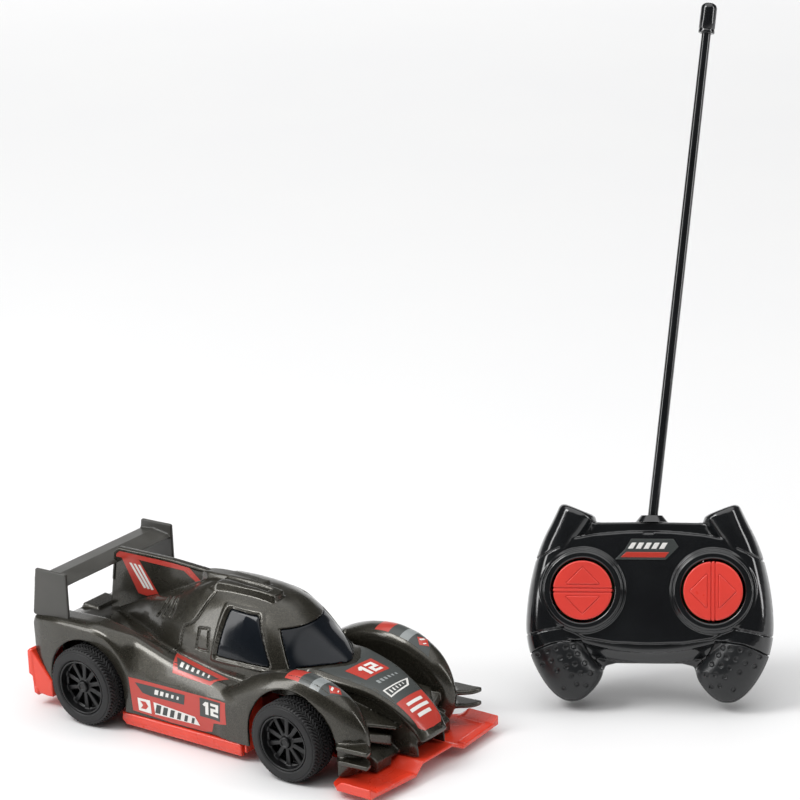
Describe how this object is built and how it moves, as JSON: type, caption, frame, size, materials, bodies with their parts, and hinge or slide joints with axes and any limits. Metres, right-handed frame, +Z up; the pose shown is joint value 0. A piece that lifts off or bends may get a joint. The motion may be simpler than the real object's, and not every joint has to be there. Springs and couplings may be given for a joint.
{
  "type": "remote control toy car",
  "caption": "Toy racing car with geared rear drive and steered front wheels, with its two-button handset and whip aerial.",
  "frame": {"origin": "middle of the footprint of the car and its handset, on the floor they stand on", "axes": "+X towards the car's nose, +Y to the driver's left, +Z up"},
  "size_m": [0.3378, 0.3045, 0.3416],
  "materials": {
    "body_paint": "dark bronze-grey metallic, semi-gloss",
    "wing_plastic": "satin dark grey",
    "window_black": "gloss black",
    "chassis_red": "gloss red",
    "tyre_rubber": "matt black rubber",
    "rim_black": "satin black",
    "steel": "bright steel",
    "sintered_bronze": "satin bronze",
    "gear_white": "natural nylon",
    "frame_black": "satin black",
    "circuit_board": "green solder mask",
    "cell_jacket": "satin sleeve",
    "handset_black": "gloss black",
    "button_red": "satin red",
    "dome_rubber": "soft grey silicone",
    "badge": "gloss foil"
  },
  "bodies": {
    "car": {"body_shell": "body_paint", "windscreen": "window_black", "side_window_left": "window_black", "side_window_right": "window_black", "dorsal_fin": "body_paint", "rear_wing": "wing_plastic", "chassis": "chassis_red", "battery_cells": "cell_jacket", "battery_contacts": "steel", "receiver_board": "circuit_board", "power_switch": "frame_black", "gear_pin": "steel", "drive_motor": "steel", "gearbox_inner": "frame_black", "gearbox_outer": "frame_black", "axle_bushes": "sintered_bronze", "steering_motor": "steel", "motor_bracket": "frame_black", "steering_bridge": "frame_black", "body_screws": "steel", "bridge_screws": "steel"},
    "battery_cover": {"battery_cover": "chassis_red"},
    "switch_slider": {"switch_slider": "frame_black"},
    "rear_wheels": {"rear_axle": "steel", "axle_gear": "gear_white", "rim_rear_left": "rim_black", "rim_rear_right": "rim_black", "tyre_rear_left": "tyre_rubber", "tyre_rear_right": "tyre_rubber"},
    "idler": {"compound_gear": "gear_white"},
    "motor_rotor": {"motor_shaft": "steel", "motor_pinion": "sintered_bronze"},
    "knuckle_left": {"knuckle_left": "frame_black"},
    "knuckle_right": {"knuckle_right": "frame_black"},
    "wheel_front_left": {"rim_front_left": "rim_black", "tyre_front_left": "tyre_rubber"},
    "wheel_front_right": {"rim_front_right": "rim_black", "tyre_front_right": "tyre_rubber"},
    "tie_rod": {"tie_rod": "gear_white"},
    "steering_horn": {"steering_horn": "gear_white"},
    "steering_rotor": {"steering_pinion": "gear_white", "steering_shaft": "steel"},
    "handset": {"handset_upper_shell": "handset_black", "handset_lower_shell": "handset_black", "rubber_domes": "dome_rubber", "handset_board": "circuit_board", "handset_cells": "cell_jacket", "handset_contacts": "steel", "handset_screws": "steel", "aerial_collar": "handset_black", "face_badge": "badge"},
    "throttle_rocker": {"throttle_rocker": "button_red"},
    "steering_rocker": {"steering_rocker": "button_red"},
    "handset_battery_door": {"handset_battery_door": "handset_black"},
    "handset_switch": {"handset_switch": "frame_black"},
    "aerial": {"aerial": "handset_black", "aerial_cap": "handset_black"}
  },
  "joints": [
    {"name": "rear_axle_spin", "type": "hinge", "parent": "car", "child": "rear_wheels", "pos_m": [-0.12488, -0.09825, 0.021], "axis": [0, 1, 0], "continuous": true},
    {"name": "idler_spin", "type": "hinge", "parent": "car", "child": "idler", "pos_m": [-0.11709, -0.09825, 0.03028], "axis": [0, 1, 0], "continuous": true},
    {"name": "motor_spin", "type": "hinge", "parent": "car", "child": "motor_rotor", "pos_m": [-0.10515, -0.09825, 0.02818], "axis": [0, 1, 0], "continuous": true},
    {"name": "steer_left", "type": "hinge", "parent": "car", "child": "knuckle_left", "pos_m": [0.00912, -0.06375, 0.021], "axis": [0, 0, 1], "range_deg": [-18, 18]},
    {"name": "steer_right", "type": "hinge", "parent": "car", "child": "knuckle_right", "pos_m": [0.00912, -0.13275, 0.021], "axis": [0, 0, 1], "range_deg": [-18, 18]},
    {"name": "front_left_spin", "type": "hinge", "parent": "knuckle_left", "child": "wheel_front_left", "pos_m": [0.00912, -0.05325, 0.021], "axis": [0, 1, 0], "continuous": true},
    {"name": "front_right_spin", "type": "hinge", "parent": "knuckle_right", "child": "wheel_front_right", "pos_m": [0.00912, -0.14325, 0.021], "axis": [0, 1, 0], "continuous": true},
    {"name": "tie_rod_slide", "type": "slide", "parent": "car", "child": "tie_rod", "axis": [0, 1, 0], "range_m": [-0.0042, 0.0042]},
    {"name": "horn_turn", "type": "hinge", "parent": "car", "child": "steering_horn", "pos_m": [-0.01488, -0.09825, 0.01], "axis": [0, 0, 1], "range_deg": [-19, 19]},
    {"name": "steering_pinion_turn", "type": "hinge", "parent": "car", "child": "steering_rotor", "pos_m": [-0.0255, -0.09825, 0.01], "axis": [0, 0, 1], "range_deg": [-47, 47]},
    {"name": "car_battery_cover_off", "type": "slide", "parent": "car", "child": "battery_cover", "axis": [0, 0, -1], "range_m": [0, 0.03]},
    {"name": "power_switch_slide", "type": "slide", "parent": "car", "child": "switch_slider", "axis": [1, 0, 0], "range_m": [0, 0.006]},
    {"name": "handset_lift", "type": "slide", "parent": "car", "child": "handset", "axis": [0, 0, 1], "range_m": [0, 0.12]},
    {"name": "throttle_press", "type": "hinge", "parent": "handset", "child": "throttle_rocker", "pos_m": [0.07918, 0.01223, 0.06127], "axis": [0.866, 0.5, 0], "range_deg": [-6, 6], "stiffness_Nm_per_rad": 0.1},
    {"name": "steering_press", "type": "hinge", "parent": "handset", "child": "steering_rocker", "pos_m": [0.13703, 0.04563, 0.06127], "axis": [-0.1873, 0.3244, 0.9272], "range_deg": [-6, 6], "stiffness_Nm_per_rad": 0.1},
    {"name": "handset_battery_door_off", "type": "slide", "parent": "handset", "child": "handset_battery_door", "axis": [-0.4636, 0.803, -0.3746], "range_m": [0, 0.025]},
    {"name": "handset_switch_slide", "type": "slide", "parent": "handset", "child": "handset_switch", "axis": [0.866, 0.5, 0], "range_m": [0, 0.005]},
    {"name": "aerial_sway", "type": "hinge", "parent": "handset", "child": "aerial", "pos_m": [0.099, 0.04669, 0.08924], "axis": [0.4636, -0.803, 0.3746], "range_deg": [-6, 6], "stiffness_Nm_per_rad": 1}
  ],
  "couplings": [
    {"joint": "idler_spin", "follows": "rear_axle_spin", "ratio": -3},
    {"joint": "motor_spin", "follows": "rear_axle_spin", "ratio": 9},
    {"joint": "steer_right", "follows": "steer_left", "ratio": 1},
    {"joint": "tie_rod_slide", "follows": "steer_left", "m_per_rad": -0.012},
    {"joint": "horn_turn", "follows": "steer_left", "ratio": -1},
    {"joint": "steering_pinion_turn", "follows": "steer_left", "ratio": 2.5}
  ]
}
